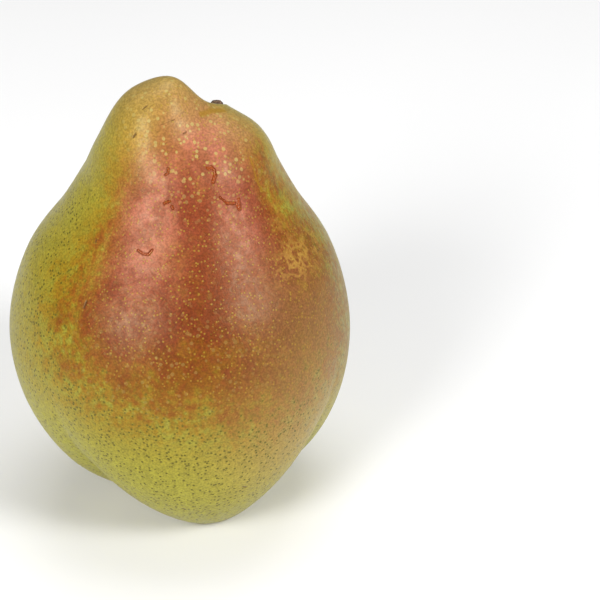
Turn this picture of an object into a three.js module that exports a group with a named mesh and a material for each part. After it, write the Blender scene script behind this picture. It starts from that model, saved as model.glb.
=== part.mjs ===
// A ripe pear standing on the lobes of its calyx end: the fruit, the stub of its stalk,
// and the dried sepals and flower remnant in the basin underneath.
// Millimetres, +Z up. Seen from -Y, +X is to the right.
import * as THREE from "three";

// The fruit is a stack of elliptical rings, from the stalk socket down to the basin. Each has
// the height and place of its centre, a half width along X, a half depth along Y, and its fall:
// how far it drops for each millimetre towards the back.
const FRUIT_RINGS = [
  { height: 94.0, width: 0.0, depth: 0.0, x: 9.4, y: 12.4, fall: 0.6 }, // socket floor
  { height: 94.0, width: 1.9, depth: 1.8, x: 9.4, y: 12.4, fall: 0.6 },
  { height: 96.0, width: 2.1, depth: 1.9, x: 9.4, y: 13.3, fall: 0.6 }, // socket wall
  { height: 97.6, width: 3.0, depth: 3.1, x: 8.8, y: 13.8, fall: 0.6 }, // lip
  { height: 98.6, width: 6.8, depth: 6.8, x: 5.6, y: 11.6, fall: 0.46 },
  { height: 95.4, width: 15.0, depth: 13.2, x: 3.4, y: 9.0, fall: 0.26 }, // crown
  { height: 91.2, width: 20.2, depth: 18.5, x: 1.7, y: 7.1, fall: 0.12 },
  { height: 84.0, width: 23.6, depth: 23.0, x: 1.2, y: 6.4, fall: 0.0 }, // neck
  { height: 75.0, width: 28.8, depth: 28.2, x: 0.8, y: 5.2, fall: 0.0 },
  { height: 63.0, width: 36.8, depth: 36.0, x: 0.2, y: 3.6, fall: 0.0 },
  { height: 48.0, width: 40.8, depth: 40.0, x: 0.0, y: 2.2, fall: 0.0 }, // belly
  { height: 33.0, width: 39.8, depth: 39.4, x: 0.3, y: 1.8, fall: 0.0 },
  { height: 19.0, width: 34.8, depth: 36.0, x: 1.2, y: 1.8, fall: 0.0 },
  { height: 7.5, width: 27.4, depth: 29.6, x: 2.2, y: 2.4, fall: 0.0 }, // haunch
  { height: -0.8, width: 17.0, depth: 19.4, x: 4.2, y: 2.2, fall: 0.0 }, // foot
  { height: 2.6, width: 12.5, depth: 13.5, x: 4.0, y: 2.5, fall: 0.0 },
  { height: 8.0, width: 8.0, depth: 8.0, x: 3.6, y: 2.5, fall: 0.0 }, // basin wall
  { height: 10.0, width: 4.4, depth: 4.4, x: 3.4, y: 2.5, fall: 0.0 },
  { height: 10.0, width: 0.0, depth: 0.0, x: 3.4, y: 2.5, fall: 0.0 }, // basin floor
];
const FOOT_RING = 14;
const LOBES_FADE_UP = 4.5; // in rings, from the foot to the belly
const LOBES_FADE_IN = 3.0; // in rings, from the foot to the basin floor
const LOBE_CREASES = [
  // around the fruit, counter-clockwise from +X, and how far the foot rises into each crease
  { degrees: -135, rise: 7.0 },
  { degrees: -22, rise: 6.0 },
  { degrees: 45, rise: 3.0 },
  { degrees: 100, rise: 2.6 },
  { degrees: 158, rise: 3.0 },
];
const CREASE_DENT = 0.09; // how far the creases pull the flanks in, as a share of the radius
const LEFT_LOBE = { at: 185, spread: 30, lift: 2.0 };

const KNOB = { x: -6.4, y: 4.0, reach: 11.3, height: 9.3, from: 82, to: 97 };

const FRUIT_SIDES = 60;
const STEPS_PER_RING = 3;
const STALK_SIDES = 16;

const GAP = 0.3; // clear space between touching pieces

// The stalk's half outline, from its cut end in the socket to its broken tip: radius, height.
const STALK_OUTLINE = [
  [0, 0],
  [1.3, 0],
  [1.45, 0.4],
  [1.4, 2.2],
  [1.55, 3.4],
  [1.5, 4.2],
  [0.9, 4.8],
  [0, 4.9],
];

// The withered flower's half outline, from its root on the basin floor to its tip.
const REMNANT_OUTLINE = [
  [0, 0],
  [1.1, 0],
  [1.3, 0.8],
  [1.5, 2.0],
  [1.1, 2.6],
  [0, 2.2],
];
const REMNANT_SIDES = 20;

const SEPAL_COUNT = 5;
// A sepal's middle line and its half width, from root to tip: out from the flower, down, half width.
const SEPAL_LINE = [
  { out: 2.2, down: 0.9, half: 0.9 },
  { out: 3.2, down: 0.8, half: 1.4 },
  { out: 4.4, down: 1.1, half: 1.3 },
  { out: 5.5, down: 2.0, half: 0.9 },
  { out: 6.1, down: 3.1, half: 0.4 },
];
const SEPAL_THICKNESS = 0.6;
const SEPAL_SIDES = 8;

const SKIN = { color: 0xa5743a, roughness: 0.45, metalness: 0 };
const BARK = { color: 0x5a4a3c, roughness: 0.9, metalness: 0 };
const DRY_SEPAL = { color: 0x4a3828, roughness: 0.9, metalness: 0 };
const DRY_FLOWER = { color: 0x8a8274, roughness: 0.9, metalness: 0 };

const radians = THREE.MathUtils.degToRad;

// A smooth curve through the rings' values, one value at a time.
function throughRings(key, position) {
  const last = FRUIT_RINGS.length - 1;
  const index = Math.min(Math.floor(position), last - 1);
  const at = (i) => FRUIT_RINGS[THREE.MathUtils.clamp(i, 0, last)][key];
  const t = position - index;
  const slopeIn = (at(index + 1) - at(index - 1)) / 2;
  const slopeOut = (at(index + 2) - at(index)) / 2;
  const h00 = (1 + 2 * t) * (1 - t) * (1 - t);
  const h10 = t * (1 - t) * (1 - t);
  const h01 = t * t * (3 - 2 * t);
  const h11 = t * t * (t - 1);
  return h00 * at(index) + h10 * slopeIn + h01 * at(index + 1) + h11 * slopeOut;
}

function bell(distance, reach) {
  return Math.exp(-((distance / reach) ** 2));
}

// Flatter on top and steeper at its edge than a bell.
function dome(distance, reach) {
  return Math.exp(-((distance / reach) ** 4));
}

// The turn from one direction to another, in degrees between -180 and 180.
function turn(degrees) {
  return degrees - 360 * Math.round(degrees / 360);
}

// How far a direction lies inside a crease, 0 on a lobe's crest to 1, and the foot's rise there.
function creaseAt(degrees) {
  const count = LOBE_CREASES.length;
  for (let i = 0; i < count; i++) {
    const from = LOBE_CREASES[i];
    const to = LOBE_CREASES[(i + 1) % count];
    const span = (to.degrees - from.degrees + 360) % 360;
    const along = (degrees - from.degrees + 720) % 360;
    if (along <= span) {
      const share = along / span;
      const depth = 1 - Math.sin(Math.PI * share);
      return { depth, rise: depth * THREE.MathUtils.lerp(from.rise, to.rise, share) };
    }
  }
  return { depth: 0, rise: 0 };
}

// 1 at the foot, fading up the flanks to the belly and inwards to the basin floor.
function lobeStrength(position) {
  const beyond = position - FOOT_RING;
  const fade = beyond < 0 ? -beyond / LOBES_FADE_UP : beyond / LOBES_FADE_IN;
  return 1 - THREE.MathUtils.smoothstep(fade, 0, 1);
}

function skinPoint(position, degrees) {
  const angle = radians(degrees);
  const strength = lobeStrength(position);
  const crease = creaseAt(degrees);
  const pull = 1 - CREASE_DENT * crease.depth ** 2 * strength;
  const x = throughRings("x", position) + throughRings("width", position) * pull * Math.cos(angle);
  const back = throughRings("depth", position) * pull * Math.sin(angle);
  const y = throughRings("y", position) + back;
  const lift = crease.rise + LEFT_LOBE.lift * bell(turn(degrees - LEFT_LOBE.at), LEFT_LOBE.spread);
  const height = throughRings("height", position) - throughRings("fall", position) * back + lift * strength;
  const onTop = THREE.MathUtils.smoothstep(height, KNOB.from, KNOB.to);
  const knob = KNOB.height * dome(Math.hypot(x - KNOB.x, y - KNOB.y), KNOB.reach) * onTop;
  return new THREE.Vector3(x, y, Math.max(height + knob, 0));
}

// A closed body from rings of points that run counter-clockwise seen from the first pole.
function ringBody(name, firstPole, rings, lastPole, look) {
  const sides = rings[0].length;
  const points = [firstPole, ...rings.flat(), lastPole];
  const faces = [];
  const at = (ring, side) => 1 + ring * sides + (side % sides);
  for (let side = 0; side < sides; side++) {
    faces.push(0, at(0, side), at(0, side + 1));
    for (let ring = 0; ring + 1 < rings.length; ring++) {
      faces.push(at(ring, side), at(ring + 1, side), at(ring + 1, side + 1));
      faces.push(at(ring, side), at(ring + 1, side + 1), at(ring, side + 1));
    }
    faces.push(at(rings.length - 1, side), points.length - 1, at(rings.length - 1, side + 1));
  }
  const geometry = new THREE.BufferGeometry().setFromPoints(points);
  geometry.setIndex(faces);
  geometry.computeVertexNormals();
  const mesh = new THREE.Mesh(geometry, new THREE.MeshStandardMaterial(look));
  mesh.name = name;
  return mesh;
}

function makeFruit() {
  const last = FRUIT_RINGS.length - 1;
  const rings = [];
  for (let step = 1; step < last * STEPS_PER_RING; step++) {
    const ring = [];
    for (let side = 0; side < FRUIT_SIDES; side++) {
      ring.push(skinPoint(step / STEPS_PER_RING, (360 * side) / FRUIT_SIDES));
    }
    rings.push(ring);
  }
  return ringBody("fruit", skinPoint(0, 0), rings, skinPoint(last, 0), SKIN);
}

function lathedBody(name, outline, sides, look) {
  const profile = outline.map(([radius, height]) => new THREE.Vector2(radius, height));
  const mesh = new THREE.Mesh(new THREE.LatheGeometry(profile, sides), new THREE.MeshStandardMaterial(look));
  mesh.name = name;
  return mesh;
}

// The stalk stands in its socket along the socket's own slanted axis.
function makeStalk() {
  const floor = FRUIT_RINGS[0];
  const axis = new THREE.Vector3(0, floor.fall, 1).normalize();
  const stalk = lathedBody("stem", STALK_OUTLINE, STALK_SIDES, BARK);
  stalk.quaternion.setFromUnitVectors(new THREE.Vector3(0, 1, 0), axis);
  stalk.position.set(floor.x, floor.y, floor.height).addScaledVector(axis, GAP);
  return stalk;
}

function makeRemnant(floor) {
  const remnant = lathedBody("flower_remnant", REMNANT_OUTLINE, REMNANT_SIDES, DRY_FLOWER);
  remnant.rotation.x = -Math.PI / 2;
  remnant.position.set(floor.x, floor.y, floor.z - GAP);
  return remnant;
}

// A thin leaf that lies along +X from the origin and bends down.
function makeSepal(name) {
  const rings = SEPAL_LINE.map(({ out, down, half }) => {
    const ring = [];
    for (let side = 0; side < SEPAL_SIDES; side++) {
      const angle = (2 * Math.PI * side) / SEPAL_SIDES;
      const across = -half * Math.cos(angle);
      const up = (SEPAL_THICKNESS / 2) * Math.sin(angle);
      ring.push(new THREE.Vector3(out, across, up - down));
    }
    return ring;
  });
  const root = SEPAL_LINE[0];
  const tip = SEPAL_LINE[SEPAL_LINE.length - 1];
  const rootPoint = new THREE.Vector3(root.out, 0, -root.down);
  const tipPoint = new THREE.Vector3(tip.out + SEPAL_THICKNESS / 2, 0, -tip.down);
  return ringBody(name, rootPoint, rings, tipPoint, DRY_SEPAL);
}

function makeCalyx() {
  const floor = skinPoint(FRUIT_RINGS.length - 1, 0);
  const calyx = new THREE.Group();
  calyx.add(makeRemnant(floor));
  for (let i = 0; i < SEPAL_COUNT; i++) {
    const sepal = makeSepal(`sepal_${i + 1}`);
    sepal.rotation.z = (2 * Math.PI * i) / SEPAL_COUNT;
    sepal.position.copy(floor);
    calyx.add(sepal);
  }
  return calyx;
}

// The pear with its box centred over the origin and its feet at height 0.
function makePear() {
  const pieces = new THREE.Group();
  pieces.add(makeFruit(), makeStalk(), makeCalyx());
  const box = new THREE.Box3().setFromObject(pieces, true);
  const middle = box.getCenter(new THREE.Vector3());
  pieces.position.set(-middle.x, -middle.y, -box.min.z);
  return new THREE.Group().add(pieces);
}

export default makePear();
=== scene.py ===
"""A ripe pear with a rust-red blush, standing on a pale studio floor."""
import math

import bpy
import numpy as np
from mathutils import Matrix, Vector


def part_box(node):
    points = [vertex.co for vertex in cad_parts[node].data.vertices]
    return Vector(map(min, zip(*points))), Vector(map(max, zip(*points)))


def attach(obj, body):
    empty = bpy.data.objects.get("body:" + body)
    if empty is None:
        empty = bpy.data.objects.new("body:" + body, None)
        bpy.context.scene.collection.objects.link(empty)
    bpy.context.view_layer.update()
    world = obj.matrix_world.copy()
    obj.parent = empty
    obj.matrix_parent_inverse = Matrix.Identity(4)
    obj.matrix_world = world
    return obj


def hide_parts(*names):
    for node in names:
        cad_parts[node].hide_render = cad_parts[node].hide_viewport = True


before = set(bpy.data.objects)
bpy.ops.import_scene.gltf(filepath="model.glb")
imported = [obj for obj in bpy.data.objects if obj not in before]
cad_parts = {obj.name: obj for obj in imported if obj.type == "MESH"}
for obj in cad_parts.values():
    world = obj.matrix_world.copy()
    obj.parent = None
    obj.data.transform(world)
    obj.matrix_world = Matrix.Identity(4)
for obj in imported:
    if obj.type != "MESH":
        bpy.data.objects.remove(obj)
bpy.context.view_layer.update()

MM = 0.001

# The fruit's rings, as the CAD part has them, from the stalk socket down to the basin:
# height, half width, half depth, centre x, centre y, fall towards the back.
RINGS = np.array([
    (94.0, 0.0, 0.0, 9.4, 12.4, 0.6),  # socket floor
    (94.0, 1.9, 1.8, 9.4, 12.4, 0.6),
    (96.0, 2.1, 1.9, 9.4, 13.3, 0.6),  # socket wall
    (97.6, 3.0, 3.1, 8.8, 13.8, 0.6),  # lip
    (98.6, 6.8, 6.8, 5.6, 11.6, 0.46),
    (95.4, 15.0, 13.2, 3.4, 9.0, 0.26),  # crown
    (91.2, 20.2, 18.5, 1.7, 7.1, 0.12),
    (84.0, 23.6, 23.0, 1.2, 6.4, 0.0),  # neck
    (75.0, 28.8, 28.2, 0.8, 5.2, 0.0),
    (63.0, 36.8, 36.0, 0.2, 3.6, 0.0),
    (48.0, 40.8, 40.0, 0.0, 2.2, 0.0),  # belly
    (33.0, 39.8, 39.4, 0.3, 1.8, 0.0),
    (19.0, 34.8, 36.0, 1.2, 1.8, 0.0),
    (7.5, 27.4, 29.6, 2.2, 2.4, 0.0),  # haunch
    (-0.8, 17.0, 19.4, 4.2, 2.2, 0.0),  # foot
    (2.6, 12.5, 13.5, 4.0, 2.5, 0.0),
    (8.0, 8.0, 8.0, 3.6, 2.5, 0.0),  # basin wall
    (10.0, 4.4, 4.4, 3.4, 2.5, 0.0),
    (10.0, 0.0, 0.0, 3.4, 2.5, 0.0),  # basin floor
])
HEIGHT, WIDTH, DEPTH, CENTRE_X, CENTRE_Y, FALL = range(6)
FOOT_RING = 14
BELLY_POSITIONS = np.arange(8, 13, 0.1)  # where the fruit is widest
LOBES_FADE_UP = 4.5
LOBES_FADE_IN = 3.0
CREASES = [(-135, 7.0), (-22, 6.0), (45, 3.0), (100, 2.6), (158, 3.0)]  # degrees, rise
CREASE_DENT = 0.09
LEFT_LOBE = {"at": 185, "spread": 30, "lift": 2.0}
KNOB = {"x": -6.4, "y": 4.0, "reach": 11.3, "height": 9.3, "from": 82, "to": 97}

SEPAL_COUNT = 5
SIDES = 300
STEPS_PER_RING = 14

CAMERA_ELEVATION = 32
CAMERA_DISTANCE = 0.6
CAMERA_TARGET = (0.0289, 0, 0.0513)  # right of the pear, which stands left of the picture's middle
LENS = 150
SENSOR_WIDTH = 36

# The softboxes: azimuth, elevation, distance, width and height in metres, watts.
LIGHTS = {
    "left_softbox": (-33, 32, 0.9, (0.36, 0.36), 6.1),
    "right_softbox": (57, 33, 0.9, (0.26, 0.36), 5.4),
    "top_softbox": (170, 70, 1.0, (0.8, 0.8), 5.6),
}
LIGHT_TARGET = Vector((0, 0, 0.05))
WORLD_STRENGTH = 0.12
FLOOR_HALF = 3.0


# ---------------------------------------------------------------- the fruit's shape

def smoothstep(value, low, high):
    share = np.clip((value - low) / (high - low), 0, 1)
    return share * share * (3 - 2 * share)


def turn(degrees):
    """The turn between two directions, between -180 and 180 degrees."""
    return degrees - 360 * np.round(degrees / 360)


def through_rings(column, position):
    """A smooth curve through one column of the rings."""
    last = len(RINGS) - 1
    index = np.minimum(np.floor(position), last - 1).astype(int)
    along = position - index

    def value_at(ring):
        return RINGS[np.clip(ring, 0, last), column]

    slope_in = (value_at(index + 1) - value_at(index - 1)) / 2
    slope_out = (value_at(index + 2) - value_at(index)) / 2
    start = (1 + 2 * along) * (1 - along) ** 2 * value_at(index) + along * (1 - along) ** 2 * slope_in
    end = along * along * (3 - 2 * along) * value_at(index + 1) + along * along * (along - 1) * slope_out
    return start + end


def crease_at(degrees):
    """How far a direction lies inside a crease, 0 to 1, and the foot's rise there."""
    depth = np.zeros_like(degrees)
    rise = np.zeros_like(degrees)
    for (start, start_rise), (stop, stop_rise) in zip(CREASES, CREASES[1:] + CREASES[:1]):
        span = (stop - start) % 360
        along = (degrees - start) % 360
        share = along / span
        here = 1 - np.sin(math.pi * share)
        inside = along <= span
        depth = np.where(inside, here, depth)
        rise = np.where(inside, here * (start_rise + (stop_rise - start_rise) * share), rise)
    return depth, rise


def fruit_points(position, degrees):
    """Points of the fruit's skin in millimetres, before it is centred."""
    angle = np.radians(degrees)
    beyond = position - FOOT_RING
    fade = np.where(beyond < 0, -beyond / LOBES_FADE_UP, beyond / LOBES_FADE_IN)
    strength = 1 - smoothstep(fade, 0, 1)
    depth, rise = crease_at(degrees)
    pull = 1 - CREASE_DENT * depth ** 2 * strength
    x = through_rings(CENTRE_X, position) + through_rings(WIDTH, position) * pull * np.cos(angle)
    back = through_rings(DEPTH, position) * pull * np.sin(angle)
    y = through_rings(CENTRE_Y, position) + back
    left = np.exp(-(turn(degrees - LEFT_LOBE["at"]) / LEFT_LOBE["spread"]) ** 2)
    lift = (rise + LEFT_LOBE["lift"] * left) * strength
    height = through_rings(HEIGHT, position) - through_rings(FALL, position) * back + lift
    on_top = smoothstep(height, KNOB["from"], KNOB["to"])
    from_knob = np.hypot(x - KNOB["x"], y - KNOB["y"]) / KNOB["reach"]
    height = height + KNOB["height"] * np.exp(-from_knob ** 4) * on_top
    return np.stack([x, y, np.maximum(height, 0)], axis=-1)


def centring():
    """The move, in millimetres, that puts the fruit's box where the frame has it."""
    low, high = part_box("fruit")
    position, degrees = np.meshgrid(BELLY_POSITIONS, np.arange(0, 360, 1.0), indexing="ij")
    points = fruit_points(position, degrees)
    middle = (points.min(axis=(0, 1)) + points.max(axis=(0, 1))) / 2
    wanted = (np.array(low) + np.array(high)) / 2 / MM
    return np.array([wanted[0] - middle[0], wanted[1] - middle[1], 0])


CENTRING = centring()


def on_skin(ring, degrees):
    """A point of the skin in metres."""
    point = fruit_points(np.array(float(ring)), np.array(float(degrees)))
    return Vector((point + CENTRING) * MM)


def add_object(name, vertices, faces):
    mesh = bpy.data.meshes.new(name)
    mesh.from_pydata([tuple(v) for v in vertices], [], faces)
    mesh.validate()
    mesh.polygons.foreach_set("use_smooth", [True] * len(mesh.polygons))
    mesh.update()
    piece = bpy.data.objects.new(name, mesh)
    bpy.context.scene.collection.objects.link(piece)
    return piece


def ring_faces(rings, sides):
    """Faces over a stack of rings, with a pole before and after it."""
    faces = []
    last = 1 + rings * sides
    for side in range(sides):
        after = (side + 1) % sides
        faces.append((0, 1 + side, 1 + after))
        for ring in range(rings - 1):
            start = 1 + ring * sides
            faces.append((start + side, start + sides + side, start + sides + after, start + after))
        start = 1 + (rings - 1) * sides
        faces.append((start + side, last, start + after))
    return faces


# Soft patches of colour on the skin: ring, degrees, reach in rings, reach in degrees, strength.
BLUSH = [
    (6.7, -80, 1.8, 28, 0.95),
    (7.6, -49, 1.8, 22, 1.0),
    (5.0, -66, 0.7, 30, 0.5),
    (6.6, -112, 1.6, 15, 0.5),
    (8.5, -112, 1.2, 22, 0.35),
    (8.9, -84, 1.0, 42, 0.5),
    (8.8, -20, 1.6, 18, 0.25),
    (9.8, -44, 1.3, 30, 0.2),
    (10.0, -84, 0.9, 60, 0.14),
    (7.8, -150, 2.0, 30, 0.05),
    (5.7, -28, 0.8, 14, 0.25),
    (7.2, 30, 2.0, 34, 0.25),
    (8.2, 110, 2.6, 60, 0.1),
    (5.9, -138, 1.2, 20, 0.08),
]
GOLD = [
    (5.4, -128, 0.8, 16, 1.0),
    (4.6, -115, 0.8, 40, 0.4),
]
TAN = [
    (11.2, -46, 1.2, 28, 0.8),
    (9.4, -34, 1.2, 26, 0.6),
    (4.8, -30, 1.0, 44, 1.0),
    (4.3, -120, 0.8, 70, 1.0),
    (5.0, -150, 0.8, 30, 0.6),
]
# Painted highlight: salmon-pink patches on the red skin where the lamps' highlights fall, on the left and
# right of the neck and under the lip.
PAINTED_HIGHLIGHT = [
    (7.0, -106, 1.5, 18, 0.9),
    (5.2, -74, 0.9, 26, 0.8),
    (7.0, -54, 1.3, 14, 0.7),
    (8.4, -102, 0.8, 16, 0.2),
]
FRECKLES = [
    (5.5, -66, 1.2, 42, 1.0),
    (4.5, -115, 1.0, 80, 1.4),
    (9.4, -92, 1.0, 40, 0.3),
]
DARK_DOTS = [
    (12.8, 0, 3.0, 900, 2.0),
    (8.8, -165, 2.4, 30, 1.2),
    (8.0, 90, 4.0, 70, 0.7),
]
# Painted shade: these patches darken the skin's colour on the lower front, at the left of the neck and at
# the front right.
PAINTED_SHADE = [
    (10.0, -70, 1.5, 60, 0.8),
    (8.8, -100, 0.8, 30, 0.3),
    (5.2, -118, 0.6, 20, 0.5),
    (9.0, -5, 2.0, 20, 0.9),
    (9.2, -44, 0.9, 16, 0.35),
]
NET_SCAR = [
    (8.4, -30, 0.3, 14, 1.0),
    (8.4, -12, 0.3, 8, 0.7),
    (7.6, -30, 0.5, 6, 0.4),
]
RUSSET = [
    (3.0, 0, 0.7, 900, 0.8),
    (16.5, 0, 1.6, 900, 0.6),
]
SKIN_PATCHES = {"blush": BLUSH, "gold": GOLD, "tan": TAN, "painted_highlight": PAINTED_HIGHLIGHT, "freckles": FRECKLES,
                "dark_dots": DARK_DOTS, "painted_shade": PAINTED_SHADE, "net_scar": NET_SCAR, "russet": RUSSET}

# Lines on the skin as points of ring and degrees, with a half width in millimetres.
SCRATCHES = [
    ([(5.25, -110), (5.0, -101.5)], 0.2),
    ([(5.1, -92.5), (5.05, -91)], 0.3),
    ([(5.2, -127), (5.1, -125)], 0.3),
    ([(5.65, -126.5), (5.6, -125.5)], 0.4),
    ([(8.7, -125.5), (8.8, -125.5)], 0.4),
    ([(7.75, -133), (7.8, -133)], 0.3),
    ([(11.9, -66), (11.95, -64.5)], 0.4),
    ([(12.4, -90.5), (12.45, -89.5)], 0.4),
]
# Painted shadow: a dark streak down the front right of the neck.
SHADOW_STREAKS = [
    ([(5.8, -24), (6.5, -21), (7.2, -18)], 1.2),
]
# Painted shade: amber lines in the crease under the lip and in a groove on the front right of the neck.
GROOVE_SHADE_LINES = [
    ([(5.9, -37.5), (6.5, -36.5), (6.8, -34)], 0.5),
    ([(4.5, -79.5), (4.25, -64.5), (4.2, -41)], 1.1),
]
# Runs of water, drawn as clear beads with painted shade along their edges.
WATER = [
    ([(5.9, -71.5), (5.9, -69.5)], 0.7),
    ([(5.9, -69.5), (5.95, -67.5), (6.1, -67)], 0.45),
    ([(6.1, -67), (6.25, -68.5)], 0.6),
    ([(6.6, -65), (6.75, -61)], 0.3),
    ([(6.75, -61), (6.8, -56)], 0.5),
    ([(6.85, -54.5), (6.95, -53.5), (6.75, -53)], 0.6),
    ([(7.7, -109), (7.75, -106), (7.75, -103.5), (7.65, -102)], 0.4),
    ([(5.9, -98), (6.0, -97.5), (6.05, -99)], 0.4),
    ([(6.65, -98), (6.6, -95)], 0.45),
    ([(6.7, -93.5), (6.75, -93)], 0.4),
]

# The largest lenticels: ring, degrees, half width in millimetres.
LARGE_LENTICELS = [
    (5.65, -58.5, 0.5),
    (5.9, -55.5, 0.6),
    (6.35, -47, 0.45),
    (4.9, -60, 0.45),
    (4.7, -49.5, 0.45),
    (5.3, -80, 0.4),
    (5.65, -45, 0.4),
    (5.65, -82.5, 0.4),
]


def patches(ring, degrees, spots):
    """The sum of soft patches, no more than 1."""
    total = np.zeros_like(ring)
    for at_ring, at_degrees, ring_reach, degree_reach, strength in spots:
        away = ((ring - at_ring) / ring_reach) ** 2 + (turn(degrees - at_degrees) / degree_reach) ** 2
        total += strength * np.exp(-away)
    return np.minimum(total, 1)


def make_skin():
    last = len(RINGS) - 1
    steps = np.arange(1, last * STEPS_PER_RING) / STEPS_PER_RING
    sides = np.arange(SIDES) * 360 / SIDES - 180
    ring, degrees = np.meshgrid(steps, sides, indexing="ij")
    points = fruit_points(ring, degrees).reshape(-1, 3)
    top = fruit_points(np.array([0.0]), np.array([0.0]))
    bottom = fruit_points(np.array([float(last)]), np.array([0.0]))
    points = (np.concatenate([top, points, bottom]) + CENTRING) * MM
    skin = add_object("skin", points, ring_faces(len(steps), SIDES))
    ring = np.concatenate([[0], ring.ravel(), [last]])
    degrees = np.concatenate([[0], degrees.ravel(), [0]])
    for name, spots in SKIN_PATCHES.items():
        attribute = skin.data.attributes.new(name, "FLOAT", "POINT")
        attribute.data.foreach_set("value", patches(ring, degrees, spots).astype(np.float32))
    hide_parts("fruit")
    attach(skin, "root")
    return skin


# ---------------------------------------------------------------- materials

def linear(red, green, blue):
    """A colour on the usual 0 to 255 scale as the linear colour that shaders take."""
    def one(value):
        value = value / 255
        return value / 12.92 if value <= 0.04045 else ((value + 0.055) / 1.055) ** 2.4
    return (one(red), one(green), one(blue), 1.0)


class Graph:
    """A material's nodes, written as formulas. Lengths are in millimetres."""

    def __init__(self, name):
        self.material = bpy.data.materials.new(name)
        self.material.use_nodes = True
        self.tree = self.material.node_tree
        self.shader = self.tree.nodes["Principled BSDF"]
        coordinates = self.tree.nodes.new("ShaderNodeTexCoord")
        self.place = self.scaled(coordinates.outputs["Object"], (1 / MM,) * 3)

    def put(self, socket, value):
        if isinstance(value, bpy.types.NodeSocket):
            self.tree.links.new(value, socket)
        else:
            socket.default_value = value

    def scaled(self, vector, factors):
        node = self.tree.nodes.new("ShaderNodeVectorMath")
        node.operation = "MULTIPLY"
        self.put(node.inputs[0], vector)
        self.put(node.inputs[1], factors)
        return node.outputs[0]

    def math(self, operation, first, second=0.0, third=0.0):
        node = self.tree.nodes.new("ShaderNodeMath")
        node.operation = operation
        for socket, value in zip(node.inputs, (first, second, third)):
            self.put(socket, value)
        return node.outputs[0]

    def times(self, first, second):
        return self.math("MULTIPLY", first, second)

    def times_plus(self, first, second, third):
        return self.math("MULTIPLY_ADD", first, second, third)

    def plus(self, first, second):
        return self.math("ADD", first, second)

    def minus(self, first, second):
        return self.math("SUBTRACT", first, second)

    def larger(self, first, second):
        return self.math("MAXIMUM", first, second)

    def soft(self, value, low, high, to_low=0.0, to_high=1.0):
        """A soft step from to_low to to_high as the value goes from low to high."""
        node = self.tree.nodes.new("ShaderNodeMapRange")
        node.interpolation_type = "SMOOTHSTEP"
        for socket, number in zip(node.inputs, (value, low, high, to_low, to_high)):
            self.put(socket, number)
        return node.outputs["Result"]

    def mix(self, share, first, second, kind="MIX"):
        node = self.tree.nodes.new("ShaderNodeMix")
        node.data_type = "RGBA"
        node.blend_type = kind
        self.put(node.inputs["Factor"], share)
        self.put(node.inputs[6], first)
        self.put(node.inputs[7], second)
        return node.outputs[2]

    def noise(self, size, detail=2.0, stretch=(1, 1, 1), seed=0.0):
        node = self.tree.nodes.new("ShaderNodeTexNoise")
        node.noise_dimensions = "4D"
        self.put(node.inputs["Vector"], self.scaled(self.place, stretch))
        self.put(node.inputs["W"], seed)
        self.put(node.inputs["Scale"], 1 / size)
        self.put(node.inputs["Detail"], detail)
        return node.outputs["Fac"]

    def cells(self, size, offset=0.0):
        """The distance from scattered points, as a share of their spacing."""
        node = self.tree.nodes.new("ShaderNodeTexVoronoi")
        self.put(node.inputs["Vector"], self.vector("ADD", self.place, (offset, offset, offset)))
        self.put(node.inputs["Scale"], 1 / size)
        return node.outputs["Distance"]

    def vector(self, operation, first, second=(0, 0, 0)):
        node = self.tree.nodes.new("ShaderNodeVectorMath")
        node.operation = operation
        self.put(node.inputs[0], first)
        self.put(node.inputs[1], second)
        return node.outputs["Value" if operation in ("DOT_PRODUCT", "LENGTH") else "Vector"]

    def segment(self, start, end):
        """The distance from a straight segment, or from a point if both ends are the same."""
        along = end - start
        from_start = self.vector("SUBTRACT", self.place, start)
        share = self.math("DIVIDE", self.vector("DOT_PRODUCT", from_start, along), along.length_squared)
        share = self.math("MINIMUM", self.larger(share, 0.0), 1.0)
        nearest = self.tree.nodes.new("ShaderNodeVectorMath")
        nearest.operation = "SCALE"
        self.put(nearest.inputs[0], along)
        self.put(nearest.inputs["Scale"], share)
        return self.vector("LENGTH", self.vector("SUBTRACT", from_start, nearest.outputs[0]))

    def strokes(self, lines):
        """1 on any of the lines and 0 off them, with a slightly broken edge."""
        ragged = self.times(self.noise(RAGGED_SIZE, seed=9.0), RAGGED_DEPTH)
        total = 0.0
        for points, half_width in lines:
            places = [on_skin(*point) / MM for point in points]
            for start, end in zip(places, places[1:]):
                away = self.plus(self.segment(start, end), ragged)
                here = self.soft(away, half_width * 0.4, half_width + LINE_SOFTNESS, 1.0, 0.0)
                total = self.larger(total, here)
        return total

    def attribute(self, name):
        node = self.tree.nodes.new("ShaderNodeAttribute")
        node.attribute_name = name
        return node.outputs["Fac"]

    def ramp(self, value, stops):
        node = self.tree.nodes.new("ShaderNodeValToRGB")
        ramp = node.color_ramp
        while len(ramp.elements) < len(stops):
            ramp.elements.new(0.5)
        for element, (position, colour) in zip(ramp.elements, stops):
            element.position = position
            element.color = colour
        self.put(node.inputs["Fac"], value)
        return node.outputs["Color"]

    def bump(self, height, distance):
        """Relief that stands distance millimetres high where the height is 1."""
        node = self.tree.nodes.new("ShaderNodeBump")
        self.put(node.inputs["Height"], height)
        node.inputs["Distance"].default_value = distance * MM
        node.inputs["Strength"].default_value = 1.0
        self.put(self.shader.inputs["Normal"], node.outputs["Normal"])

    def finish(self, colour, roughness):
        self.put(self.shader.inputs["Base Color"], colour)
        self.put(self.shader.inputs["Roughness"], roughness)
        return self.material


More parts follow.
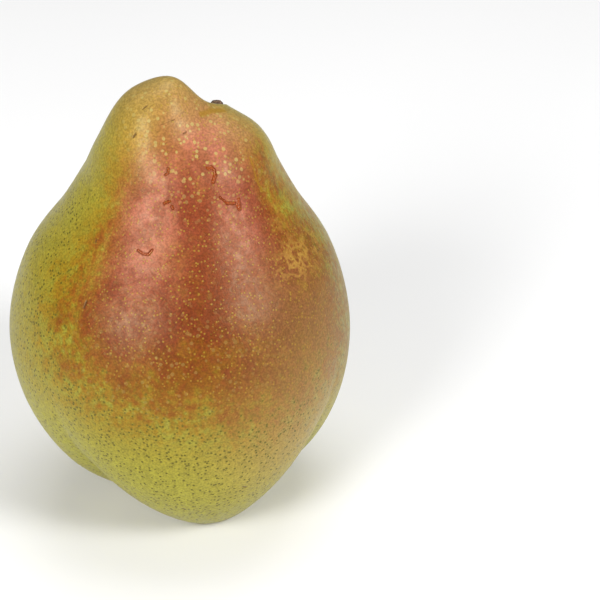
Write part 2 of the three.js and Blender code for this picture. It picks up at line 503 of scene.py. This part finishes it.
GREEN = linear(160, 154, 52)
OCHRE = linear(154, 124, 28)
ORANGE = linear(144, 92, 20)
RUST = linear(132, 68, 16)
DEEP_RED = linear(122, 50, 14)
YELLOW = linear(184, 152, 56)
BEIGE = linear(174, 138, 86)
PALE_DOT = linear(160, 130, 42)
DARK_DOT = linear(92, 84, 24)
NET_TAN = linear(190, 148, 62)
RUSSET_BROWN = linear(150, 112, 58)
# Painted shade: the amber of the crease under the lip and of the groove.
GROOVE_SHADE_AMBER = linear(150, 112, 12)
# The brown of the scratches, and of the painted shadow streak.
SCRATCH_AND_SHADOW_BROWN = linear(86, 58, 30)
LENTICEL = linear(178, 160, 92)
# Painted highlight: the salmon-pink of the highlights on the red skin.
HIGHLIGHT_SALMON = linear(194, 112, 94)
# Painted shade: the dark rust edge of the runs of water.
WATER_EDGE_SHADE = linear(160, 70, 8)
BARK_DARK = linear(56, 38, 28)
BARK_BROWN = linear(100, 74, 54)
BARK_PALE = linear(164, 136, 108)
SEPAL_DARK = linear(40, 28, 20)
SEPAL_BROWN = linear(96, 74, 52)
FLOWER_BROWN = linear(90, 78, 62)
FLOWER_PALE = linear(170, 160, 140)
FLOOR_GREY = (0.9, 0.9, 0.9, 1)
FLOOR_WHITE = (0.94, 0.94, 0.94, 1)
# Painted shade: the colour that darkens the skin under the painted shade patches.
PAINTED_SHADE_TINT = (0.74, 0.74, 0.62, 1.0)
WARM_GLOSS = (1.0, 0.9, 0.62, 1.0)
GLOSS_LEVEL = 0.32
BLUSH_STOPS = [(0.0, GREEN), (0.2, OCHRE), (0.45, ORANGE), (0.75, RUST), (1.0, DEEP_RED)]

# How much of a colour shows where its patch or line is strongest.
GOLD_SHARE = 0.7
TAN_SHARE = 0.65
LARGEST_LENTICEL_SHARE = 0.6
NETTING_SHARE = 0.55
GROOVE_SHADE_SHARE = 0.6
SHADOW_STREAK_SHARE = 0.25
SCRATCH_SHARE = 0.85

# Millimetres: the sizes of the skin's marbling, the spacing of its dots, and its relief.
CLOUD_SIZE = 9
STREAK_SIZE = 3.5
FLECK_SIZE = 1.6
GRAIN_SIZE = 0.5
NET_THREAD_SIZE = 3
PALE_DOT_SPACING = 1.0
DARK_DOT_SPACING = 1.08
LENTICEL_SPACING = 1.7
SKIN_RELIEF = 0.07
WATER_RELIEF = 7.0  # times the skin's relief
BARK_RELIEF = 0.15
DRY_RELIEF = 0.2

# Millimetres: the uneven edge of a line on the skin.
RAGGED_SIZE = 0.5
RAGGED_DEPTH = 0.3
LINE_SOFTNESS = 0.2


def skin_redness(graph, cloud, streak, fleck):
    """How red the skin is, from 0 for green to 1 for deep red, with a wandering edge."""
    blush = graph.attribute("blush")
    wander = graph.times(graph.minus(cloud, 0.5), 0.9)
    wander = graph.times_plus(graph.minus(streak, 0.5), 0.9, wander)
    wander = graph.times_plus(graph.minus(fleck, 0.5), 1.3, wander)
    return graph.times_plus(wander, graph.soft(blush, 0.02, 0.3), blush)


def skin_colour(graph, redness, streak, fleck, grain):
    """The skin's colour with its painted highlight and painted shade, without its dots and marks."""
    colour = graph.ramp(redness, BLUSH_STOPS)
    colour = graph.mix(graph.times(graph.attribute("gold"), GOLD_SHARE), colour, YELLOW)
    colour = graph.mix(graph.times(graph.attribute("tan"), TAN_SHARE), colour, BEIGE)
    highlight_mottle = graph.soft(graph.plus(streak, graph.times(fleck, 0.5)), 0.62, 0.88, 0.78, 0.3)
    # Painted highlight: salmon-pink, broken up by the skin's streaks.
    colour = graph.mix(graph.times(graph.attribute("painted_highlight"), highlight_mottle), colour, HIGHLIGHT_SALMON)
    fine_light = graph.soft(grain, 0.35, 0.65, 0.76, 1.12)
    light = graph.times(fine_light, graph.soft(fleck, 0.3, 0.7, 0.9, 1.08))
    colour = graph.mix(1.0, colour, light, "MULTIPLY")
    # Painted shade: the colour is multiplied darker where the painted shade patches lie.
    return graph.mix(graph.attribute("painted_shade"), colour, PAINTED_SHADE_TINT, "MULTIPLY")


def add_dots(graph, colour, redness, pale_dots):
    """Pale dots on the red skin and dark dots on the green."""
    on_green = graph.times(graph.attribute("dark_dots"), graph.soft(redness, 0.2, 0.5, 1.0, 0.0))
    off_green = graph.minus(1.0, on_green)
    dark_dots = graph.soft(graph.cells(DARK_DOT_SPACING, offset=50), 0.2, 0.33, 1.0, 0.0)
    colour = graph.mix(graph.times(pale_dots, off_green), colour, PALE_DOT)
    return graph.mix(graph.times(dark_dots, on_green), colour, DARK_DOT)


def add_lenticels(graph, colour, fleck):
    """The large pale lenticels round the neck, and the largest ones."""
    from_centre = graph.cells(LENTICEL_SPACING, offset=20)
    uneven = graph.times_plus(graph.minus(fleck, 0.5), 0.4, from_centre)
    large = graph.times(graph.soft(uneven, 0.2, 0.3, 0.7, 0.0), graph.attribute("freckles"))
    largest = graph.strokes([([(ring, degrees)] * 2, half) for ring, degrees, half in LARGE_LENTICELS])
    lenticels = graph.larger(large, graph.times(largest, LARGEST_LENTICEL_SHARE))
    return graph.mix(lenticels, colour, LENTICEL)


def add_marks(graph, colour, netting, fleck, scratches, water):
    """The net scar, the russet at both ends, the grooves with their painted shade, a painted shadow streak,
    scratches, and runs of water with painted shade at their edges.
    """
    colour = graph.mix(graph.times(netting, NETTING_SHARE), colour, NET_TAN)
    russet = graph.times(graph.soft(fleck, 0.35, 0.6), graph.attribute("russet"))
    colour = graph.mix(russet, colour, RUSSET_BROWN)
    # Painted shade in the crease under the lip and in the groove.
    colour = graph.mix(graph.times(graph.strokes(GROOVE_SHADE_LINES), GROOVE_SHADE_SHARE), colour, GROOVE_SHADE_AMBER)
    # Painted shadow: a dark streak on the front right of the neck.
    colour = graph.mix(graph.times(graph.strokes(SHADOW_STREAKS), SHADOW_STREAK_SHARE), colour, SCRATCH_AND_SHADOW_BROWN)
    colour = graph.mix(graph.times(scratches, SCRATCH_SHARE), colour, SCRATCH_AND_SHADOW_BROWN)
    # Painted shade along the edges of the runs of water, a little lighter in their middle.
    water_shade = graph.times(water, graph.times_plus(water, -1.3, 1.8))
    return graph.mix(water_shade, colour, WATER_EDGE_SHADE)


def skin_material():
    graph = Graph("pear_skin")
    cloud = graph.noise(CLOUD_SIZE, detail=3, seed=1.0)
    streak = graph.noise(STREAK_SIZE, detail=4, stretch=(1, 1, 0.5), seed=2.0)
    fleck = graph.noise(FLECK_SIZE, detail=3, seed=3.0)
    grain = graph.noise(GRAIN_SIZE, detail=2, seed=4.0)
    pale_dots = graph.soft(graph.cells(PALE_DOT_SPACING), 0.12, 0.32, 0.65, 0.0)
    thread = graph.math("ABSOLUTE", graph.minus(graph.noise(NET_THREAD_SIZE, detail=3, seed=5.0), 0.5))
    netting = graph.times(graph.soft(thread, 0.0, 0.08, 1.0, 0.0), graph.attribute("net_scar"))
    scratches = graph.strokes(SCRATCHES)
    water = graph.strokes(WATER)

    redness = skin_redness(graph, cloud, streak, fleck)
    colour = skin_colour(graph, redness, streak, fleck, grain)
    colour = add_dots(graph, colour, redness, pale_dots)
    colour = add_lenticels(graph, colour, fleck)
    colour = add_marks(graph, colour, netting, fleck, scratches, water)

    roughness = graph.plus(graph.soft(fleck, 0.3, 0.7, 0.33, 0.45), graph.times(netting, 0.2))
    roughness = graph.times(roughness, graph.times_plus(water, -0.8, 1.0))
    relief = graph.times_plus(pale_dots, 0.4, graph.minus(fleck, scratches))
    relief = graph.times_plus(grain, 0.5, relief)
    graph.bump(graph.times_plus(water, WATER_RELIEF, relief), SKIN_RELIEF)
    graph.shader.inputs["Specular IOR Level"].default_value = GLOSS_LEVEL
    graph.shader.inputs["Specular Tint"].default_value = WARM_GLOSS
    return graph.finish(colour, roughness)


def bark_material():
    graph = Graph("stalk_bark")
    grain = graph.noise(0.5, detail=4, stretch=(1, 1, 0.4), seed=4.0)
    colour = graph.ramp(grain, [(0.3, BARK_DARK), (0.5, BARK_BROWN), (0.7, BARK_PALE)])
    graph.bump(grain, BARK_RELIEF)
    return graph.finish(colour, graph.soft(grain, 0.3, 0.7, 0.7, 0.95))


def dry_material(name, dark, pale):
    graph = Graph(name)
    grain = graph.noise(0.7, detail=4, seed=5.0)
    colour = graph.ramp(grain, [(0.3, dark), (0.7, pale)])
    graph.bump(grain, DRY_RELIEF)
    return graph.finish(colour, graph.soft(grain, 0.3, 0.7, 0.7, 0.95))


def floor_material():
    graph = Graph("studio_floor")
    cloud = graph.noise(300, seed=6.0)
    colour = graph.ramp(cloud, [(0.3, FLOOR_GREY), (0.7, FLOOR_WHITE)])
    return graph.finish(colour, 0.9)


def dress(piece, material):
    piece.data.materials.append(material)


def dress_node(name, material):
    """Gives a CAD node a better material, leaving its mesh alone."""
    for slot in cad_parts[name].material_slots:
        slot.material = material


# ---------------------------------------------------------------- studio

def aim(item, target):
    item.rotation_euler = (Vector(target) - item.location).to_track_quat("-Z", "Y").to_euler()


def make_floor():
    corners = [(-FLOOR_HALF, -FLOOR_HALF, 0), (FLOOR_HALF, -FLOOR_HALF, 0),
               (FLOOR_HALF, FLOOR_HALF, 0), (-FLOOR_HALF, FLOOR_HALF, 0)]
    floor = add_object("floor", corners, [(0, 1, 2, 3)])
    dress(floor, floor_material())


def make_light(name, azimuth, elevation, distance, size, power):
    light = bpy.data.lights.new(name, "AREA")
    light.shape = "RECTANGLE"
    light.size, light.size_y = size
    light.energy = power
    item = bpy.data.objects.new(name, light)
    around = math.radians(azimuth)
    above = math.radians(elevation)
    out = Vector((math.sin(around) * math.cos(above), -math.cos(around) * math.cos(above), math.sin(above)))
    item.location = LIGHT_TARGET + distance * out
    aim(item, LIGHT_TARGET)
    bpy.context.scene.collection.objects.link(item)


def make_camera():
    camera = bpy.data.cameras.new("camera")
    camera.lens = LENS
    camera.sensor_width = SENSOR_WIDTH
    item = bpy.data.objects.new("camera", camera)
    elevation = math.radians(CAMERA_ELEVATION)
    back = Vector((0, -math.cos(elevation), math.sin(elevation)))
    item.location = Vector(CAMERA_TARGET) + back * CAMERA_DISTANCE
    aim(item, CAMERA_TARGET)
    bpy.context.scene.collection.objects.link(item)
    bpy.context.scene.camera = item


def make_world():
    world = bpy.data.worlds.new("studio")
    world.use_nodes = True
    background = world.node_tree.nodes["Background"]
    background.inputs["Color"].default_value = (1, 1, 1, 1)
    background.inputs["Strength"].default_value = WORLD_STRENGTH
    bpy.context.scene.world = world


def make_studio():
    make_floor()
    for name, place in LIGHTS.items():
        make_light(name, *place)
    make_world()
    bpy.context.scene.view_settings.view_transform = "Standard"


# ---------------------------------------------------------------- the pear

make_studio()
make_camera()
dress(make_skin(), skin_material())
dress_node("stem", bark_material())
sepal_look = dry_material("dry_sepal", SEPAL_DARK, SEPAL_BROWN)
for number in range(1, SEPAL_COUNT + 1):
    dress_node(f"sepal_{number}", sepal_look)
dress_node("flower_remnant", dry_material("dry_flower", FLOWER_BROWN, FLOWER_PALE))
